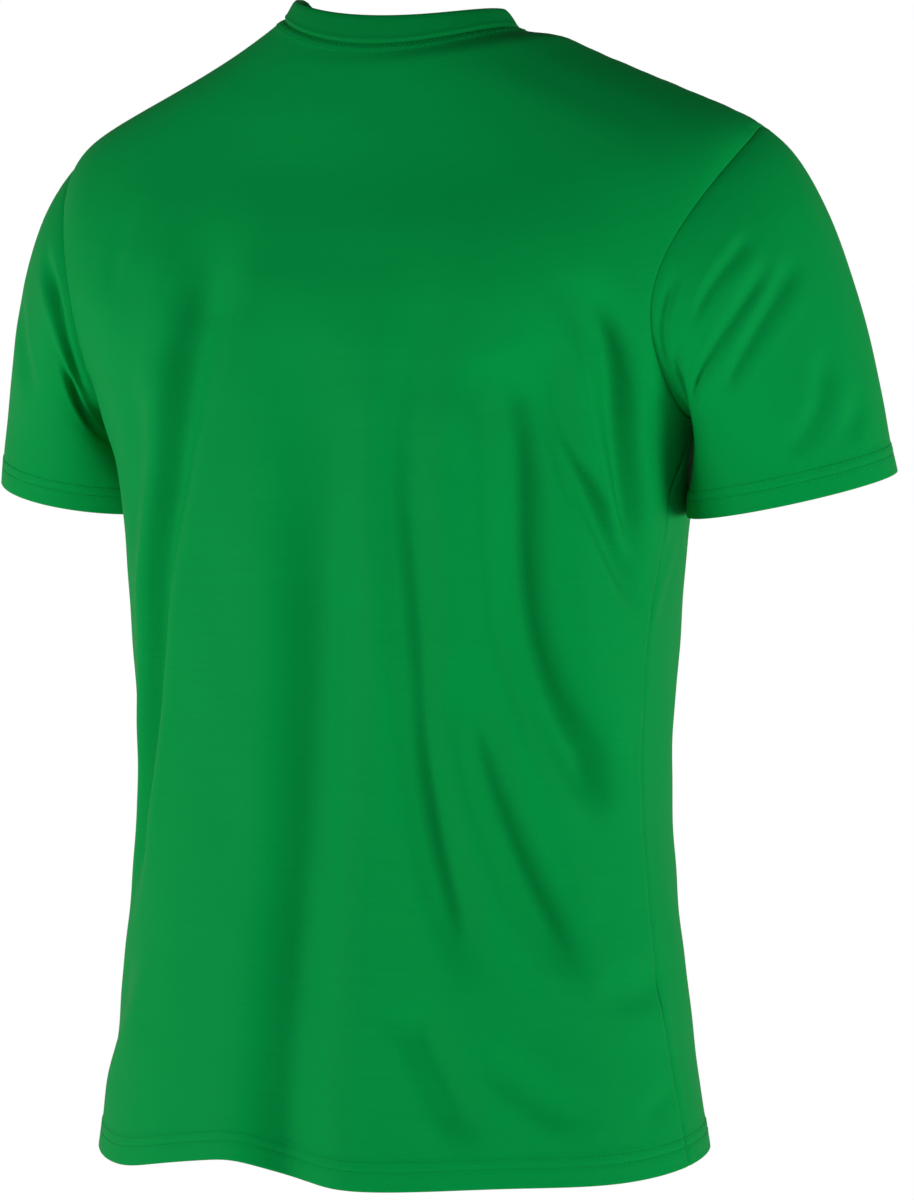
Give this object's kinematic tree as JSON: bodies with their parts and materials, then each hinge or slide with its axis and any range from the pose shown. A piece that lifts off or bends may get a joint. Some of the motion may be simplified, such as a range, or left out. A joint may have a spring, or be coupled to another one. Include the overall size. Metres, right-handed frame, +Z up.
{
  "type": "football jersey",
  "caption": "Plain short-sleeved football jersey with a crew neckband, set-in sleeves and turned-up hems, worn form with no wearer.",
  "frame": {"origin": "middle of the neck opening, level with the highest points of the neck seam, where the wearer's shoulders hold the garment up", "axes": "+Z up along the body, the front faces -Y, the wearer's left is +X"},
  "size_m": [0.618, 0.2684, 0.7202],
  "materials": {
    "green_knit": "soft satin polyester knit"
  },
  "bodies": {
    "root": {"back_panel": "green_knit", "front_panel": "green_knit", "sleeve_left": "green_knit", "sleeve_right": "green_knit", "neckband": "green_knit"}
  },
  "joints": []
}
